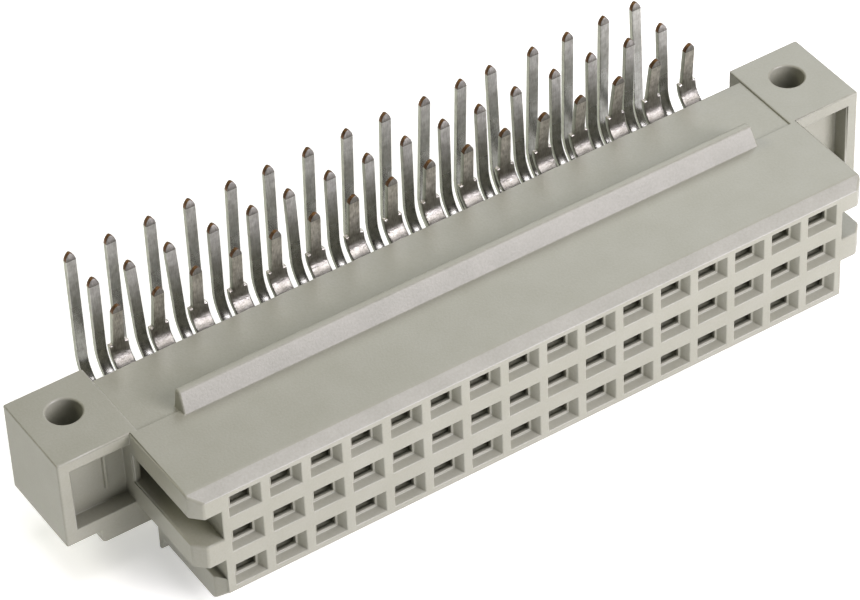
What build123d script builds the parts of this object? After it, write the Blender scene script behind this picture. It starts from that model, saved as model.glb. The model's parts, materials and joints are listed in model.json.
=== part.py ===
from build123d import *
import os

# Right-angle female connector for a circuit board: three rows of sixteen sockets in one moulded body,
# with a stamped contact in each. Sizes are in millimetres.
# The origin is midway between the two mounting holes, on the face that lies against the board.
# X runs along the rows, the sockets open towards -Y, and the solder pins point towards +Z.

# Grid of sockets and contacts
PITCH = 2.54
COLUMNS = 16
ROW_NAMES = "abc"
TOP_ROW_DROP = 1.46
PLUG_REACH = 10.08

# Mounting flanges
HOLE_PITCHES = 2
HOLE_DIAMETER = 2.0
FLANGE_WIDTH = 4.9
FLANGE_FRONT = 3.54
FLANGE_BACK = 2.36

# Pocket in the front of each flange
POCKET_DEPTH = 1.02
POCKET_SIDE_WALL = 0.78
POCKET_ROOF = 0.83
POCKET_FLOOR = 1.0
POCKET_RIB_WIDTH = 0.2
POCKET_RIB_PROUD = 0.2
POCKET_RIB_INSET = 0.73
POCKET_RIB_HEIGHT = 3.25

# Plug: the nose that holds the sockets, with lips and grooves at its ends
CORE_END = 1.45
LIP_END = 3.12
BOTTOM_LIP_END = 1.95
PLUG_FLOOR = 1.96
UPPER_GROOVE_RISE = 1.42
UPPER_GROOVE_HEIGHT = 1.97
LOWER_GROOVE_DROP = 1.92
LOWER_GROOVE_HEIGHT = 1.42
LIP_FACET_WIDTH = 0.63
LIP_FACET_DEPTH = 0.66
TOP_BEVEL_DEPTH = 0.84
TOP_BEVEL_DROP = 0.38
BOTTOM_BEVEL_DEPTH = 0.95
BOTTOM_BEVEL_RISE = 0.85

# Rear block, which the contacts are pressed into, and the tabs that go on from it under the flanges
CENTRE_STEP = 0.1
BACK_FACE = 1.33
REAR_FLOOR = 0.43
PLUG_BACK = 3.29
TAB_INSET = 2.12
TAB_DEPTH = 1.2
TAB_DROP = 0.92
TAB_ROUND = 0.3

# Polarising rib on top of the plug
RIB_BACK = 2.98
RIB_TOP_WIDTH = 0.48
RIB_FOOT_WIDTH = 1.12
RIB_HEIGHT = 1.12
RIB_END_DRAFT = 0.12

# Ridge under the back edge of the plug
RIDGE_DROP = 1.0
RIDGE_FOOT_WIDTH = 0.59
RIDGE_EDGE_WIDTH = 0.16

# Contact: one strip, stamped to a fork and bent to a solder pin
STRIP = 0.3
PIN_WIDTH = 0.58
CONTACT_WIDTH = 1.1
ARM_WIDTH = 0.24
ARM_PINCH_GAP = 0.42
ARM_FRONT_GAP = 0.66
ARM_ROOT_GAP = 0.56
ARM_FRONT_SETBACK = 1.2
ARM_PINCH_SETBACK = 2.4
ARM_ROOT_AHEAD = 0.6
TAIL_SETBACK = 2.75
SHORT_BEND_RADIUS = 1.2
LONG_BEND_RADIUS = 2.1
SHOULDER_HEIGHT = 0.2
PIN_HEIGHT = 3.1
TIP_HEIGHT = 0.48
TIP_FLAT = 0.08

# Cavity: mouth, throat, chamber and the slot that the contact is pressed into
FACE_WEB_ACROSS = 0.52
FACE_WEB_HIGH = 1.05
FUNNEL_DEPTH = 0.57
FUNNEL_LEDGE = 0.13
MATING_PIN = 0.6
THROAT_SIDE_ROOM = 0.3
THROAT_HIGH_ROOM = 0.19
THROAT_LENGTH = 0.3
CHAMBER_SIDE_ROOM = 0.27
CHAMBER_HIGH_ROOM = 0.45
REAR_WALL = 4.8
PRESS_CLEARANCE = 0.02

# Places worked out from the sizes
rows = len(ROW_NAMES)
grid_half = (COLUMNS - 1) * PITCH / 2
hole_x = grid_half + HOLE_PITCHES * PITCH
flange_outer = hole_x + FLANGE_WIDTH / 2
flange_inner = hole_x - FLANGE_WIDTH / 2
pocket_back = POCKET_DEPTH - FLANGE_FRONT
pocket_outer = flange_outer - POCKET_SIDE_WALL
row_heights = [-TOP_ROW_DROP - row * PITCH for row in range(rows)]
column_places = [column * PITCH - grid_half for column in range(COLUMNS)]
middle_height = (row_heights[0] + row_heights[-1]) / 2
core_half = grid_half + CORE_END
lip_half = grid_half + LIP_END
bottom_lip_half = grid_half + BOTTOM_LIP_END
tab_outer = flange_outer - TAB_INSET
rear_bottom = row_heights[-1] - REAR_FLOOR
plug_bottom = row_heights[-1] - PLUG_FLOOR
flange_bottom = rear_bottom + TAB_DROP
upper_groove_middle = middle_height + UPPER_GROOVE_RISE
lower_groove_middle = middle_height - LOWER_GROOVE_DROP
upper_groove_top = upper_groove_middle + UPPER_GROOVE_HEIGHT / 2
upper_groove_floor = upper_groove_middle - UPPER_GROOVE_HEIGHT / 2
lower_groove_top = lower_groove_middle + LOWER_GROOVE_HEIGHT / 2
lower_groove_floor = lower_groove_middle - LOWER_GROOVE_HEIGHT / 2
throat_width = MATING_PIN + 2 * THROAT_SIDE_ROOM
throat_height = MATING_PIN + 2 * THROAT_HIGH_ROOM
chamber_width = CONTACT_WIDTH + 2 * CHAMBER_SIDE_ROOM
chamber_height = STRIP + 2 * CHAMBER_HIGH_ROOM
chamber_back = BACK_FACE - REAR_WALL


# A block between two corners, added to the part that is being built
def block(low, high, mode=Mode.ADD):
    with BuildSketch(Plane.XY.offset(low[2])) as outline:
        with Locations(((low[0] + high[0]) / 2, (low[1] + high[1]) / 2)):
            Rectangle(high[0] - low[0], high[1] - low[1])
    extrude(outline.sketch, amount=high[2] - low[2], mode=mode)


# A slab of the plug, from the sockets' face back to the pocket, with its two front corners cut off
def lip(half, back, low, high):
    with BuildSketch(Plane.XY.offset(low)) as outline:
        with BuildLine():
            Polyline(
                (-half, back),
                (-half, LIP_FACET_DEPTH - PLUG_REACH),
                (LIP_FACET_WIDTH - half, -PLUG_REACH),
                (half - LIP_FACET_WIDTH, -PLUG_REACH),
                (half, LIP_FACET_DEPTH - PLUG_REACH),
                (half, back),
                close=True,
            )
        make_face()
    extrude(outline.sketch, amount=high - low)


# A cut along the whole front of the plug, which takes off the corner at the given height
def front_bevel(height, depth, inward):
    with BuildSketch(Plane.YZ.offset(-lip_half)) as corner:
        with BuildLine():
            Polyline(
                (depth - PLUG_REACH, height),
                (-PLUG_REACH, height),
                (-PLUG_REACH, height + inward),
                close=True,
            )
        make_face()
    extrude(corner.sketch, amount=2 * lip_half, mode=Mode.SUBTRACT)


# The hollow of one socket, for a socket centred on the axis Y, with its face at the plug's face
with BuildPart() as cavity:
    with BuildSketch(Plane.XZ.offset(PLUG_REACH)):
        Rectangle(PITCH - FACE_WEB_ACROSS, PITCH - FACE_WEB_HIGH)
    with BuildSketch(Plane.XZ.offset(PLUG_REACH - FUNNEL_DEPTH)):
        Rectangle(throat_width + 2 * FUNNEL_LEDGE, throat_height + 2 * FUNNEL_LEDGE)
    loft()
    with BuildSketch(Plane.XZ.offset(PLUG_REACH - FUNNEL_DEPTH)):
        Rectangle(throat_width, throat_height)
    extrude(amount=-THROAT_LENGTH)
    chamber_front = FUNNEL_DEPTH + THROAT_LENGTH - PLUG_REACH
    with BuildSketch(Plane.XZ.offset(-chamber_front)):
        Rectangle(chamber_width, chamber_height)
    extrude(amount=chamber_front - chamber_back)
    with BuildSketch(Plane.XZ.offset(-chamber_back)):
        Rectangle(CONTACT_WIDTH + 2 * PRESS_CLEARANCE, STRIP + 2 * PRESS_CLEARANCE)
    extrude(amount=chamber_back - BACK_FACE)

with BuildPart() as insulator_housing:
    # Plug: the core between the grooves, then the three lips
    block((-core_half, -PLUG_REACH, plug_bottom), (core_half, -PLUG_BACK, 0))
    block((-core_half, -PLUG_BACK, rear_bottom), (core_half, pocket_back, 0))
    lip(lip_half, pocket_back, upper_groove_top, 0)
    lip(lip_half, pocket_back, lower_groove_top, upper_groove_floor)
    lip(bottom_lip_half, -PLUG_BACK, plug_bottom, lower_groove_floor)
    front_bevel(0, TOP_BEVEL_DEPTH, -TOP_BEVEL_DROP)
    front_bevel(plug_bottom, BOTTOM_BEVEL_DEPTH, BOTTOM_BEVEL_RISE)

    # Behind the flanges' front the top of the middle lies a little lower than the board face
    block((-flange_inner, -FLANGE_FRONT, -CENTRE_STEP), (flange_inner, pocket_back, 0), Mode.SUBTRACT)

    # Rear block between the flanges, which hangs a little below them
    with BuildSketch(Plane.XZ.offset(-pocket_back)):
        with Locations((0, (rear_bottom - CENTRE_STEP) / 2)):
            Rectangle(2 * flange_inner, -CENTRE_STEP - rear_bottom)
    extrude(amount=pocket_back - BACK_FACE)

    # Ridge under the back edge of the plug, with a sloping front
    with BuildSketch(Plane.YZ.offset(-bottom_lip_half)):
        with BuildLine():
            Polyline(
                (-PLUG_BACK, plug_bottom),
                (-PLUG_BACK - RIDGE_FOOT_WIDTH, plug_bottom),
                (-PLUG_BACK - RIDGE_EDGE_WIDTH, plug_bottom - RIDGE_DROP),
                (-PLUG_BACK, plug_bottom - RIDGE_DROP),
                close=True,
            )
        make_face()
    extrude(amount=2 * bottom_lip_half)

    # Flanges, each with an open pocket in its front and a tab under it
    for side in (-1, 1):
        inner, outer = sorted((side * flange_inner, side * flange_outer))
        block((inner, -FLANGE_FRONT, flange_bottom), (outer, FLANGE_BACK, 0))
        tab_ends = sorted((side * bottom_lip_half, side * tab_outer))
        block((tab_ends[0], -FLANGE_FRONT, rear_bottom), (tab_ends[1], TAB_DEPTH - FLANGE_FRONT, flange_bottom))
        pocket_ends = sorted((side * lip_half, side * pocket_outer))
        pocket_low = (pocket_ends[0], -FLANGE_FRONT, POCKET_FLOOR + flange_bottom)
        block(pocket_low, (pocket_ends[1], pocket_back, -POCKET_ROOF), Mode.SUBTRACT)
        rib_x = side * (hole_x - POCKET_RIB_INSET)
        rib_end = -POCKET_ROOF - POCKET_RIB_HEIGHT
        rib_low = (rib_x - POCKET_RIB_WIDTH / 2, pocket_back - POCKET_RIB_PROUD, rib_end)
        block(rib_low, (rib_x + POCKET_RIB_WIDTH / 2, pocket_back, -POCKET_ROOF))
    with Locations((-hole_x, 0, 0), (hole_x, 0, 0)):
        Hole(HOLE_DIAMETER / 2)
    lowest_edges = edges().filter_by(Axis.Y).filter_by_position(Axis.Z, rear_bottom, rear_bottom)
    outer_corners = lowest_edges.group_by(Axis.X)[0] + lowest_edges.group_by(Axis.X)[-1]
    fillet(outer_corners, TAB_ROUND)

    # Polarising rib: a long ridge with a sloping front and a little draft at its ends
    with BuildSketch(Plane.XY.offset(-CENTRE_STEP)):
        with Locations((0, -RIB_BACK - RIB_FOOT_WIDTH / 2)):
            Rectangle(2 * grid_half, RIB_FOOT_WIDTH)
    with BuildSketch(Plane.XY.offset(RIB_HEIGHT)):
        with Locations((0, -RIB_BACK - RIB_TOP_WIDTH / 2)):
            Rectangle(2 * (grid_half - RIB_END_DRAFT), RIB_TOP_WIDTH)
    loft()

    # Socket hollows, right through to the back face
    with Locations([(x, 0, height) for height in row_heights for x in column_places]):
        add(cavity.part, mode=Mode.SUBTRACT)

os.makedirs("parts", exist_ok=True)
insulator_housing.part.label = "insulator_housing"
export_step(insulator_housing.part, "parts/insulator_housing.step")


# The flat fork in its cavity, with the wide strip behind it that is pressed into the rear wall
def fork(x, height):
    front = ARM_FRONT_SETBACK - PLUG_REACH
    pinch = ARM_PINCH_SETBACK - PLUG_REACH
    root = chamber_back - ARM_ROOT_AHEAD
    right_side = [
        (CONTACT_WIDTH / 2, BACK_FACE),
        (CONTACT_WIDTH / 2, root),
        (ARM_PINCH_GAP / 2 + ARM_WIDTH, pinch),
        (ARM_FRONT_GAP / 2 + ARM_WIDTH, front),
        (ARM_FRONT_GAP / 2, front),
        (ARM_PINCH_GAP / 2, pinch),
        (ARM_ROOT_GAP / 2, root),
    ]
    left_side = [(-across, along) for across, along in reversed(right_side)]
    with BuildSketch(Plane(origin=(x, 0, height - STRIP / 2))) as flat:
        with BuildLine():
            Polyline(*right_side, *left_side, close=True)
        make_face()
    extrude(flat.sketch, amount=STRIP)


# A strip that leaves the back face level, turns a right angle and stands up to the height given
def bent_strip(x, width, height, place, radius, top):
    turn = (place - radius, height + radius)
    with BuildSketch(Plane.YZ.offset(x - width / 2)) as side_view:
        with BuildLine():
            Line((BACK_FACE, height - STRIP / 2), (turn[0], height - STRIP / 2))
            CenterArc(turn, radius + STRIP / 2, -90, 90)
            Line((place + STRIP / 2, turn[1]), (place + STRIP / 2, top))
            Line((place + STRIP / 2, top), (place - STRIP / 2, top))
            Line((place - STRIP / 2, top), (place - STRIP / 2, turn[1]))
            CenterArc(turn, radius - STRIP / 2, 0, -90)
            Line((turn[0], height + STRIP / 2), (BACK_FACE, height + STRIP / 2))
            Line((BACK_FACE, height + STRIP / 2), (BACK_FACE, height - STRIP / 2))
        make_face()
    extrude(side_view.sketch, amount=width)


# The end of a solder pin, sheared off from both sides to a narrow ridge
def sheared_tip(x, place):
    shoulder = PIN_HEIGHT - TIP_HEIGHT
    with BuildSketch(Plane.XZ.offset(STRIP / 2 - place)) as gable:
        with BuildLine():
            Polyline(
                (x - PIN_WIDTH / 2, shoulder),
                (x + PIN_WIDTH / 2, shoulder),
                (x + TIP_FLAT / 2, PIN_HEIGHT),
                (x - TIP_FLAT / 2, PIN_HEIGHT),
                close=True,
            )
        make_face()
    extrude(gable.sketch, amount=-STRIP)


# One contact for each socket. The pins of the upper row are wide up to their shoulders
for row, height in enumerate(row_heights):
    place = TAIL_SETBACK + row * PITCH
    radius = LONG_BEND_RADIUS if row else SHORT_BEND_RADIUS
    for column, x in enumerate(column_places):
        name = f"contact_{ROW_NAMES[row]}{column + 1:02d}"
        with BuildPart() as contact:
            fork(x, height)
            bent_strip(x, PIN_WIDTH, height, place, radius, PIN_HEIGHT - TIP_HEIGHT)
            if row == 0:
                bent_strip(x, CONTACT_WIDTH, height, place, radius, SHOULDER_HEIGHT)
            sheared_tip(x, place)
        contact.part.label = name
        export_step(contact.part, f"parts/{name}.step")
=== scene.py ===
# %% [markdown]
# # A board connector with 48 sockets
# The object is a right-angle female connector for a circuit board. It is a grey moulded body with three
# rows of sixteen sockets in its front, a flange with a screw hole at each end, and a bent solder pin behind
# each socket. It lies with the face that goes against the board upwards, so its pins point up. The solids
# come in first. Everything else is placed from them, in metres.

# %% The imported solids
import json
import math

import bpy
from mathutils import Matrix, Vector

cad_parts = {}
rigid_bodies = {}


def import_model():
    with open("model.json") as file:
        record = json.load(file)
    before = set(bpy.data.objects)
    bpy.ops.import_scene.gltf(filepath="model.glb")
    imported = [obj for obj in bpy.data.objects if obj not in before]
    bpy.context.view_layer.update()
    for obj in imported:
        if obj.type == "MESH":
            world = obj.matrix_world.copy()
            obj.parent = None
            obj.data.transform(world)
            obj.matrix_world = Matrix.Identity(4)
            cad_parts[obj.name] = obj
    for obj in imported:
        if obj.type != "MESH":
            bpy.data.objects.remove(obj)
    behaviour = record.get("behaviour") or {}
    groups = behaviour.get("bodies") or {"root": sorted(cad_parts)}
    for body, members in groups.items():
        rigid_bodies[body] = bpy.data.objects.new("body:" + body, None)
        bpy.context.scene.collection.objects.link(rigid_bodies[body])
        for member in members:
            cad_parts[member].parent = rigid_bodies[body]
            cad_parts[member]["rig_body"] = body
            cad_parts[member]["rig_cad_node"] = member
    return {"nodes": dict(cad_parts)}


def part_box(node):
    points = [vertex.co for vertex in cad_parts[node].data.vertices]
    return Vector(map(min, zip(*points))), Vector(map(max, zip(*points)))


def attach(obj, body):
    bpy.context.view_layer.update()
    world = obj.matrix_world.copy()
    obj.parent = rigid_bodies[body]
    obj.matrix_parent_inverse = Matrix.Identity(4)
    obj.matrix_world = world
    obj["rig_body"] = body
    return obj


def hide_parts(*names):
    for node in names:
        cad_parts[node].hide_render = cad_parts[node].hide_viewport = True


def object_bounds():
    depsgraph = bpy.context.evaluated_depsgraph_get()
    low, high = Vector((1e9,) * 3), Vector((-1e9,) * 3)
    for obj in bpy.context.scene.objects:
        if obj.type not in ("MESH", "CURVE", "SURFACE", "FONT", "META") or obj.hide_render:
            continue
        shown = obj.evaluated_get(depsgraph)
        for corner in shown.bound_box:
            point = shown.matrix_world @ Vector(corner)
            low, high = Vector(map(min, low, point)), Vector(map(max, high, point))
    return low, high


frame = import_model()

MM = 0.001
CAD_LOW, CAD_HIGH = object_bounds()
print("the solids' box in mm:", [round(side / MM, 2) for side in CAD_HIGH - CAD_LOW])

# %% [markdown]
# ## Camera
# The camera comes before any looks, so that each render can be laid beside the photograph. A long lens from
# about 0.24 m keeps the edges almost parallel, as they are there. It could be steered by hand in the
# viewport, but numbers bring it back to the same place each time. The place where it stands and the point
# that it looks at are given in millimetres from the middle of the board face, and a small roll tips the
# picture.

# %% Camera
CAMERA_PLACE = Vector((-91.574, -147.671, 152.042)) * MM
CAMERA_TARGET = Vector((0.0, 1.399, -5.759)) * MM
CAMERA_ROLL = math.radians(2.795)
LENS = 173.56
SENSOR = 36.0
NEAREST_SEEN = 10 * MM

lens_data = bpy.data.cameras.new("camera")
lens_data.lens = LENS
lens_data.sensor_width = SENSOR
lens_data.clip_start = NEAREST_SEEN
camera = bpy.data.objects.new("camera", lens_data)
bpy.context.scene.collection.objects.link(camera)
camera.location = CAMERA_PLACE
look = (CAMERA_TARGET - CAMERA_PLACE).to_track_quat("-Z", "Y")
camera.rotation_mode = "QUATERNION"
camera.rotation_quaternion = look @ Matrix.Rotation(-CAMERA_ROLL, 3, "Z").to_quaternion()
bpy.context.scene.camera = camera
print("camera", [round(v, 4) for v in camera.location], "lens", LENS)

# %% [markdown]
# ## Colours and nodes
# Colours are written as the sRGB hex values that a picture shows. The shaders work in linear light, so one
# function turns them by the sRGB formula. Finishes could be wired by hand in the shader editor. Here one
# small function adds any node with its settings and links, and another starts a material. The last one
# blends two patterns and gives the blend two tones, which is all the colour that these finishes need.

# %% Colour and node helpers
def linear(hex_colour):
    channels = [int(hex_colour[i:i + 2], 16) / 255 for i in (1, 3, 5)]
    steps = [c / 12.92 if c <= 0.04045 else ((c + 0.055) / 1.055) ** 2.4 for c in channels]
    return (*steps, 1.0)


def add_node(tree, kind, values=None, links=None, **settings):
    made = tree.nodes.new("ShaderNode" + kind)
    for key, value in settings.items():
        setattr(made, key, value)
    for key, value in (values or {}).items():
        made.inputs[key].default_value = value
    for key, source in (links or {}).items():
        tree.links.new(source, made.inputs[key])
    return made


def new_material(name, **shader_values):
    material = bpy.data.materials.new(name)
    material.use_nodes = True
    shader = material.node_tree.nodes["Principled BSDF"]
    for key, value in shader_values.items():
        shader.inputs[key.replace("_", " ")].default_value = value
    return material, material.node_tree, shader


def two_tone(tree, first, second, share, dark, light, spread):
    patterns = {"A": first.outputs["Fac"], "B": second.outputs["Fac"]}
    blend = add_node(tree, "Mix", {"Factor": share}, patterns).outputs["Result"]
    ramp = add_node(tree, "ValToRGB", links={"Fac": blend})
    for stop, position, tone in zip(ramp.color_ramp.elements, (0.5 - spread, 0.5 + spread), (dark, light)):
        stop.position = position
        stop.color = linear(tone)
    return blend, ramp.outputs["Color"]


print("pebble grey in linear light:", [round(c, 3) for c in linear("#888779")])

# %% [markdown]
# ## Moulded plastic
# The body is moulded from polyester filled with glass fibres, in pebble grey. The steel mould leaves a
# satin skin: its colour is slightly cloudy, and it has a fine grain. Where the mould was spark-eroded, the
# skin scatters more light: the slope on the rib is coarse, and the slope along the front is finer. The
# front slope is also painted whiter, a painted highlight for the light that falls on it. A picture of
# plastic could carry all this, but it would have to be laid out on every face. Two noise patterns in the
# piece's own space need no layout, and all three finishes come from one function. The real grain is a few
# hundredths of a millimetre wide, too fine to show, so it is drawn at 0.14 mm.

# %% Plastic finishes
PLASTIC_IOR = 1.57
CLOUD_SIZE = 2.2 * MM
GRAIN_SIZE = 0.14 * MM
GRAIN_SHARE = 0.45
PLASTIC_SPREAD = 0.2


def moulded_plastic(name, dark, light, roughness, grain_height):
    material, tree, shader = new_material(name, Roughness=roughness, IOR=PLASTIC_IOR)
    place = add_node(tree, "TexCoord").outputs["Object"]
    clouds = add_node(tree, "TexNoise", {"Scale": 1 / CLOUD_SIZE, "Detail": 3.0}, {"Vector": place})
    grain = add_node(tree, "TexNoise", {"Scale": 1 / GRAIN_SIZE, "Detail": 2.0}, {"Vector": place})
    _, colour = two_tone(tree, clouds, grain, GRAIN_SHARE, dark, light, PLASTIC_SPREAD)
    tree.links.new(colour, shader.inputs["Base Color"])
    relief = {"Strength": 1.0, "Distance": grain_height}
    bump = add_node(tree, "Bump", relief, {"Height": grain.outputs["Fac"]})
    tree.links.new(bump.outputs["Normal"], shader.inputs["Normal"])
    return material


smooth_plastic = moulded_plastic("moulded polyester, satin", "#888779", "#908F83", 0.42, 0.006 * MM)
eroded_plastic = moulded_plastic("moulded polyester, spark-eroded", "#807F73", "#8F8D82", 0.5, 0.014 * MM)
# The paler finish of the front slope is partly a painted highlight.
pale_plastic = moulded_plastic("moulded polyester, finely eroded, with painted highlight", "#8E8D84", "#9E9C94", 0.5, 0.01 * MM)
PLASTICS = (smooth_plastic, eroded_plastic, pale_plastic)
print("plastic finishes:", *(plastic.name for plastic in PLASTICS), sep=" | ")

# %% [markdown]
# ## Metal
# The contacts are stamped from copper alloy strip and plated with matt tin, which is faintly streaked along
# the strip. Toward the body the tin is more glossy, and its colour is painted darker: painted shade, for
# the
# dark reflections and shade close to the body. Four more finishes show where the strip was worked:
# - its narrow sides were sheared before plating, so the tin on them is rough; their darker, greener colour
#   is painted shade;
# - the slope in front of each tip was struck flat, or coined, and is duller; its darker colour is painted
#   shade;
# - the very ends were cut after plating, so they show the bare brown alloy;
# - in the row nearest the board, the press tool has left shallow dents, and the painted shade at the foot
#   is deeper.
# A picture could be wrapped round each pin, but all 48 would then look the same. Noise in the part's space
# is drawn out along the pins instead, and gives each pin its own marks. A metal's colour is its reflection,
# so the painted shade is made by scaling that colour with height, and the gloss by scaling the roughness.

# %% Metal finishes
STREAK_WIDTH = 0.05 * MM
STREAK_LENGTH = 0.5 * MM
BLOTCH_SIZE = 0.35 * MM
BLOTCH_SHARE = 0.5
METAL_SPREAD = 0.15
METAL_RELIEF = 0.003 * MM
DENT_RELIEF = 0.035 * MM
# Heights between which the painted shade and the gloss change.
FOOT_LEVEL = -1.5 * MM
HEAD_LEVEL = 1.8 * MM


def strip_metal(name, dark, light, roughness, relief=METAL_RELIEF, foot_painted_shade=1.0, foot_roughness=None):
    material, tree, shader = new_material(name, Metallic=1.0, Roughness=roughness)
    place = add_node(tree, "TexCoord").outputs["Object"]
    height = add_node(tree, "SeparateXYZ", links={"Vector": place}).outputs["Z"]
    # Painted shade: the colour darkens toward the body, and the gloss rises there; this range sets both.
    plating = {"From Min": FOOT_LEVEL, "From Max": HEAD_LEVEL}
    shade = add_node(tree, "MapRange", plating | {"To Min": foot_painted_shade, "To Max": 1.0}, {"Value": height})
    if foot_roughness:
        finish = plating | {"To Min": foot_roughness, "To Max": roughness}
        rough = add_node(tree, "MapRange", finish, {"Value": height})
        tree.links.new(rough.outputs["Result"], shader.inputs["Roughness"])
    stretch = (1 / STREAK_WIDTH, 1 / STREAK_WIDTH, 1 / STREAK_LENGTH)
    drawn = add_node(tree, "Mapping", {"Scale": stretch}, {"Vector": place}).outputs["Vector"]
    streaks = add_node(tree, "TexNoise", {"Scale": 1.0, "Detail": 3.0}, {"Vector": drawn})
    blotches = add_node(tree, "TexNoise", {"Scale": 1 / BLOTCH_SIZE, "Detail": 3.0}, {"Vector": place})
    blend, colour = two_tone(tree, streaks, blotches, BLOTCH_SHARE, dark, light, METAL_SPREAD)
    shaded = {"Vector": colour, "Scale": shade.outputs["Result"]}
    shaded_toward_foot = add_node(tree, "VectorMath", links=shaded, operation="SCALE")
    tree.links.new(shaded_toward_foot.outputs["Vector"], shader.inputs["Base Color"])
    bump = add_node(tree, "Bump", {"Strength": 1.0, "Distance": relief}, {"Height": blend})
    tree.links.new(bump.outputs["Normal"], shader.inputs["Normal"])
    return material


# The tin is painted darker toward the body: painted shade.
tin = strip_metal("matt tin plating", "#C6C4BF", "#F2F1EE", 0.45, foot_painted_shade=0.52, foot_roughness=0.22)
# The sides' darker, greener tin is painted shade.
edge_tin = strip_metal("matt tin on a sheared edge, in painted shade", "#96988C", "#B0B2A4", 0.5)
bare_alloy = strip_metal("bare copper alloy, sheared", "#4A3827", "#7C5D43", 0.5)
# The coined slope's darker tin is painted shade.
coined_tin_in_shade = strip_metal("matt tin, coined at the tip, in painted shade", "#78756F", "#A19E98", 0.5)
# The dented row gets deeper painted shade at its foot.
dented_tin = strip_metal(
    "matt tin, dented by the press tool", "#ADA79E", "#F0ECE4", 0.36,
    relief=DENT_RELIEF, foot_painted_shade=0.3, foot_roughness=0.26,
)
METALS = (tin, edge_tin, bare_alloy, coined_tin_in_shade, dented_tin)
print("metal finishes:", *(metal.name for metal in METALS), sep=" | ")

# %% [markdown]
# ## Helpers for modelling
# Every operator works on what is selected, and the solids come in selected, so each step first deselects
# everything and then picks its faces by their place and direction. The part is tiny, so two points count as
# one only within a thousandth of a millimetre or less. Rounding comes from a Bevel modifier that reads a
# weight from each edge, and a Weighted Normal modifier keeps the flat faces flat.

# %% Modelling helpers
import bmesh

MERGE = 0.0001 * MM
TINY = 0.001 * MM
FAR = 1.0
FACING = 0.9
SHARP = math.radians(50)
ROUND_STEPS = 3
LARGE_FACES_WIN = 100


def only(piece):
    bpy.ops.object.select_all(action="DESELECT")
    piece.select_set(True)
    bpy.context.view_layer.objects.active = piece


def block(name, low, high):
    bpy.ops.object.select_all(action="DESELECT")
    low, high = Vector(low), Vector(high)
    bpy.ops.mesh.primitive_cube_add(size=1, location=(low + high) / 2, scale=high - low)
    bpy.ops.object.transform_apply(location=True, rotation=True, scale=True)
    piece = bpy.context.object
    piece.name = piece.data.name = name
    return piece


def pick_faces(piece, test):
    bpy.ops.mesh.select_mode(type="FACE")
    bpy.ops.mesh.select_all(action="DESELECT")
    form = bmesh.from_edit_mesh(piece.data)
    for face in form.faces:
        if test(face.calc_center_median(), face.normal):
            face.select_set(True)
    bmesh.update_edit_mesh(piece.data)


def extrude(along, widen=1.0):
    bpy.ops.mesh.extrude_region_move(TRANSFORM_OT_translate={"value": along})
    if widen != 1.0:
        bpy.ops.transform.resize(value=(widen, 1, 1))


def weigh_edges(piece, weight_of):
    form = bmesh.new()
    form.from_mesh(piece.data)
    weights = form.edges.layers.float.new("bevel_weight_edge")
    for edge in form.edges:
        edge[weights] = weight_of(edge)
    form.to_mesh(piece.data)
    form.free()


def round_edges(piece, width, clamp=True):
    bevel = piece.modifiers.new("rounded edges", "BEVEL")
    bevel.limit_method = "WEIGHT"
    bevel.width = width
    bevel.segments = ROUND_STEPS
    bevel.use_clamp_overlap = clamp
    only(piece)
    bpy.ops.object.modifier_apply(modifier=bevel.name)
    bpy.ops.object.shade_smooth_by_angle(angle=SHARP)
    flatten = piece.modifiers.new("flat faces stay flat", "WEIGHTED_NORMAL")
    flatten.weight = LARGE_FACES_WIN
    flatten.keep_sharp = True
    bpy.ops.object.modifier_apply(modifier=flatten.name)


print("points closer than", MERGE / MM, "mm are merged")

# %% [markdown]
# ## Housing
# The body is one moulding with pockets, grooves, a rib and 48 mouths. It could be built up again from
# blocks, but the solid already has every size right, only with sharp edges, so a copy of it is worked on.
# Its doubled points are merged and its flat triangles joined, so that each edge is there once. The walls
# round the throats of the sockets are left as triangles: joined into one face with 48 holes, they shade
# wrongly.

# %% Copy of the housing
PITCH = 2.54 * MM
SOCKET_DEPTH = 0.8 * MM
FLAT = math.radians(1)

only(frame["nodes"]["insulator_housing"])
bpy.ops.object.duplicate()
housing = bpy.context.object
housing.name = housing.data.name = "moulded_housing"
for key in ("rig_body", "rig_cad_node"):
    if key in housing:
        del housing[key]
housing.parent = None
bpy.ops.object.mode_set(mode="EDIT")
bpy.ops.mesh.select_all(action="SELECT")
bpy.ops.mesh.remove_doubles(threshold=TINY)
inner_front = CAD_LOW.y + SOCKET_DEPTH
pick_faces(housing, lambda c, n: abs(n.y) < FACING or not inner_front < c.y < inner_front + PITCH)
bpy.ops.mesh.dissolve_limited(angle_limit=FLAT)
bpy.ops.object.mode_set(mode="OBJECT")
print("housing faces after the clean-up:", len(housing.data.polygons))

# %% [markdown]
# ### Room for rounding
# One width for all edges would eat up the thin walls between the sockets. So each edge is first asked how
# much room it has: the distance to the nearest edge of the same face that runs beside it. Edges that slant
# away, end before it starts or lie in a flat face don't count.

# %% Room for rounding
SLANT = 0.3

housing_low, housing_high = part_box("insulator_housing")
first_low, first_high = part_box("contact_a01")
last_low, last_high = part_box("contact_c16")
socket_low = Vector((first_low.x, 0, last_low.z)) - Vector((1, 0, 1)) * PITCH / 2
socket_high = Vector((last_high.x, 0, first_low.z)) + Vector((1, 0, 1)) * PITCH / 2


def gap_between(edge, other):
    start, end = (corner.co for corner in edge.verts)
    line = (end - start).normalized()
    ends = [corner.co - start for corner in other.verts]
    along = sorted(offset.dot(line) for offset in ends)
    if along[1] < 0 or along[0] > (end - start).length:
        return None
    across = [(offset - line * offset.dot(line)).length for offset in ends]
    return min(across) if abs(across[0] - across[1]) < SLANT * max(across) else None


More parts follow.
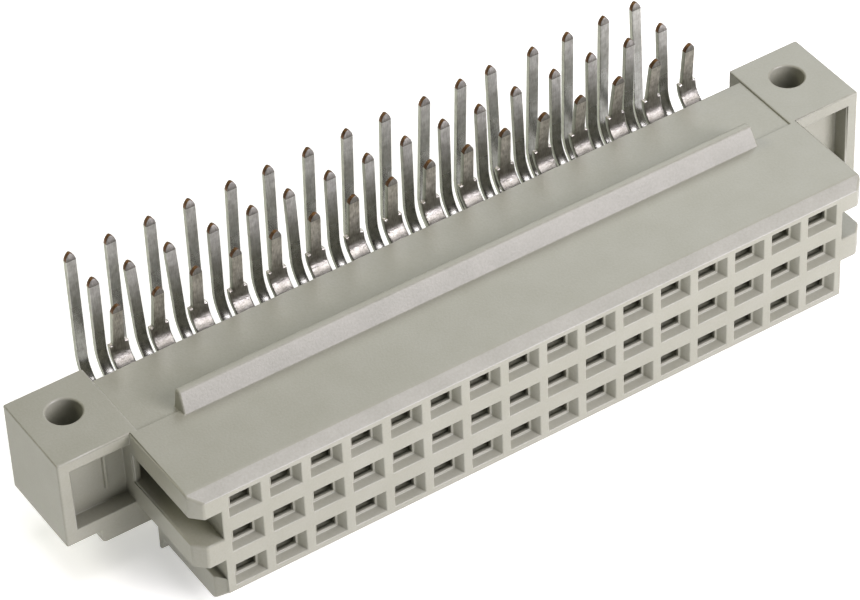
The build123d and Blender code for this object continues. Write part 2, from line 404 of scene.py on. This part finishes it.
def room_beside(edge):
    room = FAR
    for face in edge.link_faces:
        for other in face.edges:
            if other is edge or set(other.verts) & set(edge.verts):
                continue
            gap = gap_between(edge, other)
            if gap is not None and other.calc_face_angle(0) > FLAT:
                room = min(room, gap)
    return room


print("socket grid in mm:", [round(side / MM, 2) for side in (socket_high - socket_low).xz])

# %% [markdown]
# ### Rounded edges
# No edge of a moulding is sharp: the corners of the mould leave a radius of about an eighth of a
# millimetre, and less round the sockets and in hollow corners. The rounding takes about a third of the room
# at most. The edges deep in the sockets can't be seen, and they stay sharp to save faces.

# %% Rounded housing
EDGE_ROUND = 0.13 * MM
SOCKET_ROUND = 0.06 * MM
HOLLOW_ROUND = 0.05 * MM
ROOM_SHARE = 0.35
BENT = math.radians(12)
SKIN = 0.01 * MM


def housing_weight(edge):
    if len(edge.link_faces) != 2 or edge.calc_face_angle() < BENT:
        return 0.0
    middle = (edge.verts[0].co + edge.verts[1].co) / 2
    in_grid = socket_low.x < middle.x < socket_high.x and socket_low.z < middle.z < socket_high.z
    if in_grid and housing_low.y + SOCKET_DEPTH <= middle.y < housing_high.y - SKIN:
        return 0.0
    widest = SOCKET_ROUND if in_grid else EDGE_ROUND
    if not edge.is_convex:
        widest = min(widest, HOLLOW_ROUND)
    return min(widest, ROOM_SHARE * room_beside(edge)) / EDGE_ROUND


weigh_edges(housing, housing_weight)
round_edges(housing, EDGE_ROUND, clamp=False)
print("housing faces after rounding:", len(housing.data.polygons))

# %% [markdown]
# ### Housing finishes
# The slope on the rib and the slope along the front were spark-eroded in the mould. Both could be picked by
# hand in edit mode. Here they are found by what sets them apart: they face up and forward at once, they are
# larger than a square millimetre, and they lie near the top. The one in front gets the paler finish, whose
# extra whiteness is a painted highlight.

# %% Housing finishes
TILT = 0.3
SKEW = 0.2
SLOPE_AREA = MM * MM
SLOPE_LOWEST = -1.0 * MM

housing.data.materials.clear()
for plastic in PLASTICS:
    housing.data.materials.append(plastic)
slopes = 0
for face in housing.data.polygons:
    leans = face.normal.z > TILT and face.normal.y < -TILT and abs(face.normal.x) < SKEW
    if leans and face.area > SLOPE_AREA and face.center.z > SLOPE_LOWEST:
        # The front slope gets the paler finish, which is a painted highlight.
        in_front = face.center.y < housing_low.y + PITCH
        face.material_index = PLASTICS.index(pale_plastic if in_front else eroded_plastic)
        slopes += 1
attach(housing, "root")
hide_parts("insulator_housing")
print("eroded slopes:", slopes)

# %% [markdown]
# ## Contacts
# Each contact is one stamped strip: a fork that grips the mating pin, a wide part that is pressed into the
# body, a bend upwards, and a solder pin with a sheared tip. The strip of the row nearest the board stays
# wide up to a pair of shoulders and flares a little on the way, and the other two rows are narrow all the
# way up. The strip is drawn a few hundredths of a millimetre thicker and wider than its nominal 0.3 by 0.58
# mm, as the photograph shows it. The arch of the tip is given as shares of its height and of the pin's
# width.

# %% Contact sizes
STRIP = 0.34 * MM
PIN_WIDTH = 0.66 * MM
CONTACT_WIDTH = 1.1 * MM
WIDE_FLARE = 1.09
ARM_WIDTH = 0.24 * MM
PINCH_GAP = 0.42 * MM
FRONT_GAP = 0.66 * MM
PINCH_BEHIND_FRONT = 1.2 * MM
ARM_LENGTH = 4.81 * MM
SHORT_BEND = 1.2 * MM
LONG_BEND = 2.1 * MM
BEND_STEPS = 10
SHOULDER_HEIGHT = 0.2 * MM
TIP_HEIGHT = 0.48 * MM
TIP_ARCH = ((0.42, 0.84), (0.73, 0.56), (0.92, 0.3), (1.0, 0.1))
BODY_DEPTH = 11.41 * MM
BACK_FACE = housing_low.y + BODY_DEPTH
print("strip in mm:", round(STRIP / MM, 2), "by", round(PIN_WIDTH / MM, 2))

# %% [markdown]
# ### Fork
# Inside the body, the strip ends in two springy arms. They close round the mating pin at a pinch, and open
# again at the front so that the pin finds its way in. The arms could be blocks of their own, but the real
# ones are one piece with the strip. So the strip's block is cut twice, and each arm is drawn out of its
# front end by two extrudes, to the pinch and on to the mouth.

# %% Strip with its fork
def fork_arm(piece, x, side, root):
    outer = (CONTACT_WIDTH + PIN_WIDTH) / 4
    pinch = (PINCH_GAP + ARM_WIDTH) / 2
    front = (FRONT_GAP + ARM_WIDTH) / 2
    beside = PIN_WIDTH / 2
    pick_faces(piece, lambda c, n: n.y < -FACING and c.y < root + TINY and side * (c.x - x) > beside)
    arm_root = (CONTACT_WIDTH - PIN_WIDTH) / 2
    extrude((side * (pinch - outer), PINCH_BEHIND_FRONT - ARM_LENGTH, 0), ARM_WIDTH / arm_root)
    extrude((side * (front - pinch), -PINCH_BEHIND_FRONT, 0))


def forked_strip(name, x, root, bottom):
    half = CONTACT_WIDTH / 2
    piece = block(name, (x - half, root, bottom), (x + half, BACK_FACE, bottom + STRIP))
    bpy.ops.object.mode_set(mode="EDIT")
    for side in (-1, 1):
        bpy.ops.mesh.select_all(action="SELECT")
        cut = (x + side * PIN_WIDTH / 2, 0, 0)
        bpy.ops.mesh.bisect(plane_co=cut, plane_no=(1, 0, 0), threshold=MERGE)
    for side in (-1, 1):
        fork_arm(piece, x, side, root)
    return piece


print("fork arms reach", round(ARM_LENGTH / MM, 2), "mm forward")

# %% [markdown]
# ### Bend and tip
# Behind the body, the strip turns up through a right angle. A curve with a flat profile would bend as
# neatly, but it couldn't join the cut block, so the block's back face is spun about a pivot. The tip is
# drawn up in four short extrudes, each narrower than the last. The press also strikes a slope on the front
# of the tip.

# %% Bend and tip
COIN_DEPTH = 0.08 * MM


def bend_up(piece, x, pin_y, middle, wide):
    radius = SHORT_BEND if wide else LONG_BEND
    reach = FAR if wide else PIN_WIDTH / 2
    pick_faces(piece, lambda c, n: n.y > FACING and c.y > BACK_FACE - TINY and abs(c.x - x) < reach)
    extrude((0, pin_y - radius - BACK_FACE, 0), WIDE_FLARE if wide else 1.0)
    pivot = (x, pin_y - radius, middle + radius)
    bpy.ops.mesh.spin(steps=BEND_STEPS, angle=-math.pi / 2, center=pivot, axis=(1, 0, 0))
    return middle + radius


def arch_tip():
    rise, width = 0.0, 1.0
    for next_rise, next_width in TIP_ARCH:
        extrude((0, 0, (next_rise - rise) * TIP_HEIGHT), next_width / width)
        rise, width = next_rise, next_width


def coin_tip(piece, tip, pin_y):
    for point in piece.data.vertices:
        if point.co.z > tip and point.co.y < pin_y:
            point.co.y += COIN_DEPTH * (point.co.z - tip) / TIP_HEIGHT


print("bends in mm:", round(SHORT_BEND / MM, 2), "and", round(LONG_BEND / MM, 2))

# %% [markdown]
# ### Edges and finishes of a contact
# Stamping and plating round the long edges of the strip, and the cut tip stays crisp, so the tip's edges
# get a smaller weight. The finish of each face follows from its place and direction: bare alloy on the end
# of the tip, coined tin painted darker in shade on its slope, rough tin painted darker in shade on the
# sheared sides, and the shaft's own tin behind the body.

# %% Edges and finishes of a contact
METAL_ROUND = 0.08 * MM
TIP_ROUND = 0.02 * MM
CORNER = math.radians(30)
FRONTAL = 0.6
UPWARD = 0.1
SIDEWAYS = 0.8


def contact_weight(edge, tip):
    if edge.calc_face_angle(0) <= CORNER:
        return 0.0
    at_tip = max(corner.co.z for corner in edge.verts) > tip + MERGE
    return TIP_ROUND / METAL_ROUND if at_tip else 1.0


def metal_for(face, tip, shaft_metal):
    at_tip = face.center.z > tip
    if at_tip and abs(face.normal.y) < FRONTAL and face.normal.z > UPWARD:
        return bare_alloy
    # The coined slope gets darker tin: painted shade.
    if at_tip and face.normal.y < -FRONTAL:
        return coined_tin_in_shade
    # The narrow sides get darker, greener tin: painted shade.
    if abs(face.normal.x) > SIDEWAYS:
        return edge_tin
    return shaft_metal if face.center.y > BACK_FACE else tin


def paint(piece, tip, shaft_metal):
    for metal in METALS:
        piece.data.materials.append(metal)
    for face in piece.data.polygons:
        face.material_index = METALS.index(metal_for(face, tip, shaft_metal))


print("strip edges rounded by", round(METAL_ROUND / MM, 2), "mm")

# %% [markdown]
# ### One whole contact
# The steps come together in the order in which a press would make them: strip and fork, bend, shoulders
# where the strip is wide, pin and tip. The size and place come from the contact's own solid. Spinning
# leaves doubled points and may turn the faces inside out, so points are merged and normals recalculated
# before the rounding.

# %% One whole contact
def stamped_contact(name, node, wide):
    low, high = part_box(node)
    x = (low.x + high.x) / 2
    pin_y = high.y - STRIP / 2
    tip = high.z - TIP_HEIGHT
    beside = PIN_WIDTH / 2
    piece = forked_strip(name, x, low.y + ARM_LENGTH, low.z)
    stands = bend_up(piece, x, pin_y, low.z + STRIP / 2, wide)
    if wide:
        extrude((0, 0, SHOULDER_HEIGHT - stands))
        stands = SHOULDER_HEIGHT
        pick_faces(piece, lambda c, n: n.z > FACING and c.z > stands - TINY and abs(c.x - x) < beside)
    extrude((0, 0, tip - stands), 1 / WIDE_FLARE if wide else 1.0)
    arch_tip()
    bpy.ops.mesh.select_all(action="SELECT")
    bpy.ops.mesh.remove_doubles(threshold=MERGE)
    bpy.ops.mesh.normals_make_consistent(inside=False)
    bpy.ops.object.mode_set(mode="OBJECT")
    coin_tip(piece, tip, pin_y)
    weigh_edges(piece, lambda edge: contact_weight(edge, tip))
    round_edges(piece, METAL_ROUND)
    paint(piece, tip, dented_tin if wide else tin)
    print(name, "faces:", len(piece.data.polygons))
    return piece


# %% [markdown]
# ## Rows of contacts
# The pins of a real connector never stand quite straight after packing and handling. The ones that lean
# most are named here, with how far the tip stands to the side and to the front, in millimetres. Each point
# above the bend moves in proportion to its height, so a pin leans from its foot. The short pins nearest the
# board also bow backwards, and a curve that is 1 at half height and 0 at both ends shares out the bow. An
# Array modifier could repeat the contact, but its copies would be one mesh. Here one contact of each row is
# modelled, and each copy has its own mesh, so it can lean its own way.

# %% Rows of contacts
COLUMNS = 16
LEAN_FROM = -1.0 * MM
LEANS = {
    "a01": (0.0, -0.2), "a02": (0.0, -0.3), "a10": (-0.1, -0.2), "a11": (-0.15, -0.25), "a12": (-0.1, -0.4),
    "a13": (-0.1, -0.35), "a14": (0.1, -0.25), "a15": (0.15, -0.2), "a16": (0.0, -0.15),
    "b02": (-0.25, 0.0), "b03": (-0.25, 0.0), "b06": (-0.15, -0.05), "b11": (-0.15, -0.15),
    "b12": (-0.15, -0.05), "b15": (0.0, -0.25), "b16": (-0.25, -0.2),
    "c05": (0.15, -0.1), "c06": (0.0, -0.2), "c07": (0.1, -0.2), "c08": (0.2, -0.1), "c09": (0.2, -0.15),
    "c10": (0.25, -0.3), "c11": (0.25, -0.2), "c12": (-0.25, -0.15), "c13": (0.15, -0.2),
    "c14": (0.0, -0.25), "c15": (0.0, -0.25), "c16": (-0.3, -0.2),
}
STRAIGHT = (0.0, -0.05)
BOWS = {"a": (-0.05, 0.27, 0.0), "b": (0.0, 0.0, 0.0), "c": (0.0, 0.0, 0.0)}


def lean(piece, sideways, forwards, bow):
    top = max(point.co.z for point in piece.data.vertices)
    for point in piece.data.vertices:
        rise = max(0.0, point.co.z - LEAN_FROM)
        share = rise / (top - LEAN_FROM)
        point.co += Vector((sideways, forwards, 0)) * MM * rise / (CAD_HIGH.z - LEAN_FROM)
        point.co += Vector(bow) * MM * 4 * share * (1 - share)


for row in "abc":
    pieces = [stamped_contact(f"pin_{row}01", f"contact_{row}01", row == "a")]
    for column in range(1, COLUMNS):
        only(pieces[0])
        bpy.ops.object.duplicate(linked=False)
        piece = bpy.context.object
        piece.name = piece.data.name = f"pin_{row}{column + 1:02d}"
        piece.data.transform(Matrix.Translation((column * PITCH, 0, 0)))
        pieces.append(piece)
    for column, piece in enumerate(pieces):
        place = f"{row}{column + 1:02d}"
        lean(piece, *LEANS.get(place, STRAIGHT), BOWS[row])
        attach(piece, "root")
        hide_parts(f"contact_{place}")
    print("row", row, "has", len(pieces), "contacts")

# %% [markdown]
# ## Studio
# The floor is a sheet of white acrylic. White card would need more light, and that would bleach the upper
# faces, so the acrylic glows a little from below instead and keeps the ground of the picture white. A dim
# white surround fills the hollows.

# %% Floor and surround
FLOOR_SIDE = 3.0
FLOOR_ROUGHNESS = 0.9
FLOOR_GLOW = 0.4
SURROUND = 0.1
WHITE = (1, 1, 1, 1)

acrylic, tree, shader = new_material("white acrylic", Roughness=FLOOR_ROUGHNESS)
shader.inputs["Base Color"].default_value = linear("#F6F6F4")
shader.inputs["Emission Color"].default_value = WHITE
shader.inputs["Emission Strength"].default_value = FLOOR_GLOW
bpy.ops.object.select_all(action="DESELECT")
bpy.ops.mesh.primitive_plane_add(size=FLOOR_SIDE, location=(0, 0, CAD_LOW.z))
floor = bpy.context.object
floor.name = "floor"
bpy.ops.object.transform_apply(location=True)
floor.data.materials.append(acrylic)

world = bpy.data.worlds.new("surround")
bpy.context.scene.world = world
world.use_nodes = True
background = world.node_tree.nodes["Background"]
background.inputs["Color"].default_value = WHITE
background.inputs["Strength"].default_value = SURROUND
print("floor at", round(CAD_LOW.z / MM, 2), "mm")

# %% [markdown]
# ### Lights
# One large light overhead would be simpler, but it would leave the front dull and the pins flat. A small
# soft light stands close by, in front of the right end, which is why that end is the brightest. A larger
# one farther off fills the same side. Three lights above and behind lift the upper faces and the pins. They
# are faintly tinted, as in the photograph: cool in front, and warm at the back on the left. Each is a
# square that looks at the middle of the board face. The Standard view shows their light without a film-like
# curve.

# %% Lights
LIGHTS = (  # name, place in metres, side in metres, power in watts, colour
    ("near key light", (0.07, -0.16, 0.095), 0.14, 0.4, (1.0, 0.97, 1.0)),
    ("front fill", (0.35, -0.6, 0.2), 0.3, 3.0, (0.87, 0.84, 1.0)),
    ("top light", (0.0, 0.0, 0.8), 0.4, 1.95, (1.0, 0.97, 1.0)),
    ("back light, left", (-0.4, 0.4, 0.5), 0.3, 1.6, (1.0, 0.97, 0.75)),
    ("back light, right", (0.4, 0.4, 0.5), 0.3, 1.64, (0.95, 0.99, 1.0)),
)

for name, place, size, power, colour in LIGHTS:
    data = bpy.data.lights.new(name, "AREA")
    data.shape = "SQUARE"
    data.size = size
    data.energy = power
    data.color = colour
    lamp = bpy.data.objects.new(name, data)
    bpy.context.scene.collection.objects.link(lamp)
    lamp.location = place
    lamp.rotation_mode = "QUATERNION"
    lamp.rotation_quaternion = (-Vector(place)).to_track_quat("-Z", "Y")
bpy.context.scene.view_settings.view_transform = "Standard"
print("lights:", *(light[0] for light in LIGHTS), sep=" | ")
